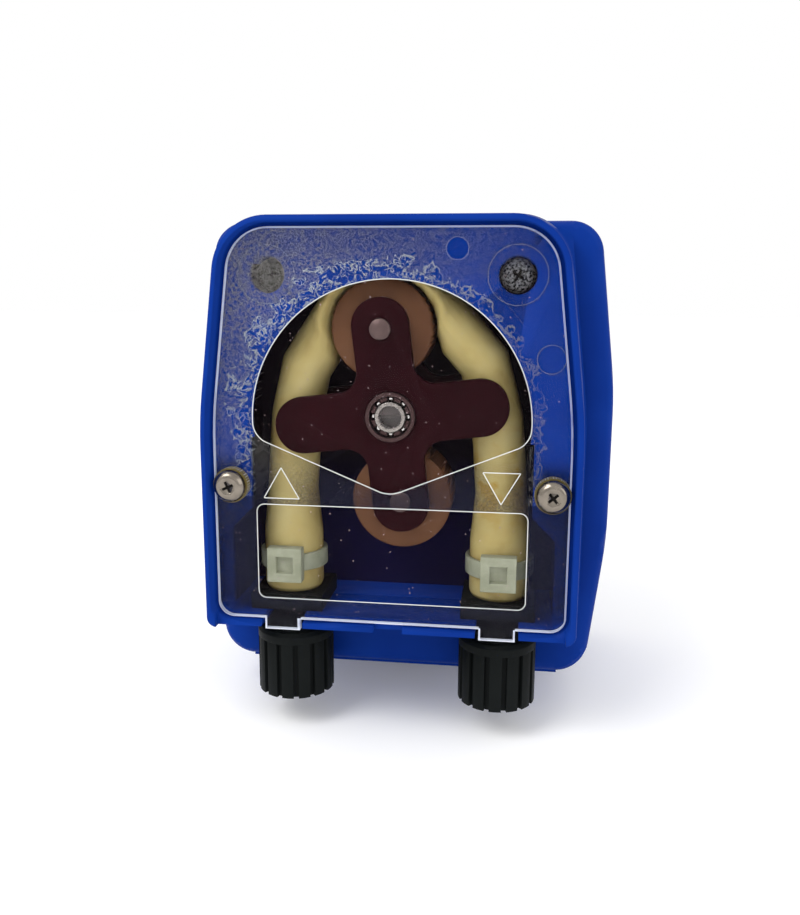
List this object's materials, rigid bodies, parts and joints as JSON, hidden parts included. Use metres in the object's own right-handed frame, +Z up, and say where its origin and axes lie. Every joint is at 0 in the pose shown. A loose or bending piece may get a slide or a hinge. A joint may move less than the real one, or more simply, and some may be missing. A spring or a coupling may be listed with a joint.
{
  "type": "peristaltic dosing pump",
  "caption": "Wall-mounted peristaltic dosing pump: two rollers on a turning rotor squeeze a rubber tube in an arch behind a screwed clear cover, with hose nuts below.",
  "frame": {"origin": "centre of the wall bracket's back face", "axes": "+Z up, +Y into the wall, the pump's cover faces -Y, +X to the right seen from the front"},
  "size_m": [0.1188, 0.103, 0.1421],
  "materials": {
    "casing_blue": "moulded blue plastic, satin",
    "clear_cover": "clear plastic, frosted outside its windows",
    "rotor_black": "black moulded plastic",
    "roller_tan": "tan brown turned plastic",
    "tube_rubber": "cream rubber, matt",
    "port_black": "black moulded plastic",
    "tie_nylon": "milky natural nylon",
    "grommet_rubber": "olive rubber",
    "screw_nickel": "nickel plated",
    "bare_steel": "turned steel",
    "bearing_steel": "ground bearing steel"
  },
  "bodies": {
    "bracket": {"wall_bracket": "casing_blue"},
    "pump": {"rear_casing": "casing_blue", "back_panel": "casing_blue", "head_casing": "casing_blue", "casing_screw_left": "screw_nickel", "casing_screw_right": "screw_nickel", "cable_gland": "port_black", "pump_tube": "tube_rubber", "cable_tie_left": "tie_nylon", "cable_tie_right": "tie_nylon", "hose_connector_left": "port_black", "hose_connector_right": "port_black"},
    "cover": {"front_cover": "clear_cover", "screw_grommet_left": "grommet_rubber", "screw_grommet_right": "grommet_rubber"},
    "left_cover_screw": {"cover_screw_left": "screw_nickel"},
    "right_cover_screw": {"cover_screw_right": "screw_nickel"},
    "rotor": {"rotor_front_plate": "rotor_black", "rotor_rear_plate": "rotor_black", "output_shaft": "bare_steel", "roller_pin_top": "bare_steel", "roller_pin_bottom": "bare_steel", "bearing_outer_ring": "bearing_steel"},
    "top_roller": {"roller_top": "roller_tan"},
    "bottom_roller": {"roller_bottom": "roller_tan"},
    "inner_race": {"bearing_inner_ring": "bearing_steel"},
    "ball_cage": {"bearing_cage": "bearing_steel", "bearing_ball_1": "bearing_steel", "bearing_ball_2": "bearing_steel", "bearing_ball_3": "bearing_steel", "bearing_ball_4": "bearing_steel", "bearing_ball_5": "bearing_steel", "bearing_ball_6": "bearing_steel", "bearing_ball_7": "bearing_steel", "bearing_ball_8": "bearing_steel"},
    "left_nut": {"ring_nut_left": "port_black"},
    "right_nut": {"ring_nut_right": "port_black"}
  },
  "joints": [
    {"name": "pump_lift", "type": "slide", "parent": "bracket", "child": "pump", "axis": [0, 0, 1], "range_m": [0, 0.02]},
    {"name": "cover_pull", "type": "slide", "parent": "pump", "child": "cover", "axis": [0, -1, 0], "range_m": [0, 0.03]},
    {"name": "left_cover_screw_out", "type": "slide", "parent": "cover", "child": "left_cover_screw", "axis": [0, -1, 0], "range_m": [0, 0.016]},
    {"name": "right_cover_screw_out", "type": "slide", "parent": "cover", "child": "right_cover_screw", "axis": [0, -1, 0], "range_m": [0, 0.016]},
    {"name": "rotor_spin", "type": "hinge", "parent": "pump", "child": "rotor", "pos_m": [0, -0.085, 0.0145], "axis": [0, 1, 0], "continuous": true, "deforming": ["pump_tube"]},
    {"name": "top_roller_spin", "type": "hinge", "parent": "rotor", "child": "top_roller", "pos_m": [-0.00273, -0.085, 0.03704], "axis": [0, 1, 0], "continuous": true},
    {"name": "bottom_roller_spin", "type": "hinge", "parent": "rotor", "child": "bottom_roller", "pos_m": [0.00273, -0.085, -0.00804], "axis": [0, 1, 0], "continuous": true},
    {"name": "inner_race_spin", "type": "hinge", "parent": "pump", "child": "inner_race", "pos_m": [0, -0.0946, 0.0145], "axis": [0, 1, 0], "continuous": true},
    {"name": "ball_cage_spin", "type": "hinge", "parent": "pump", "child": "ball_cage", "pos_m": [0, -0.0946, 0.0145], "axis": [0, 1, 0], "continuous": true},
    {"name": "left_nut_turn", "type": "hinge", "parent": "pump", "child": "left_nut", "pos_m": [-0.029, -0.085, -0.0565], "axis": [0, 0, 1], "continuous": true},
    {"name": "right_nut_turn", "type": "hinge", "parent": "pump", "child": "right_nut", "pos_m": [0.029, -0.085, -0.0565], "axis": [0, 0, 1], "continuous": true}
  ],
  "couplings": [
    {"joint": "ball_cage_spin", "follows": "rotor_spin", "ratio": 0.60106}
  ]
}
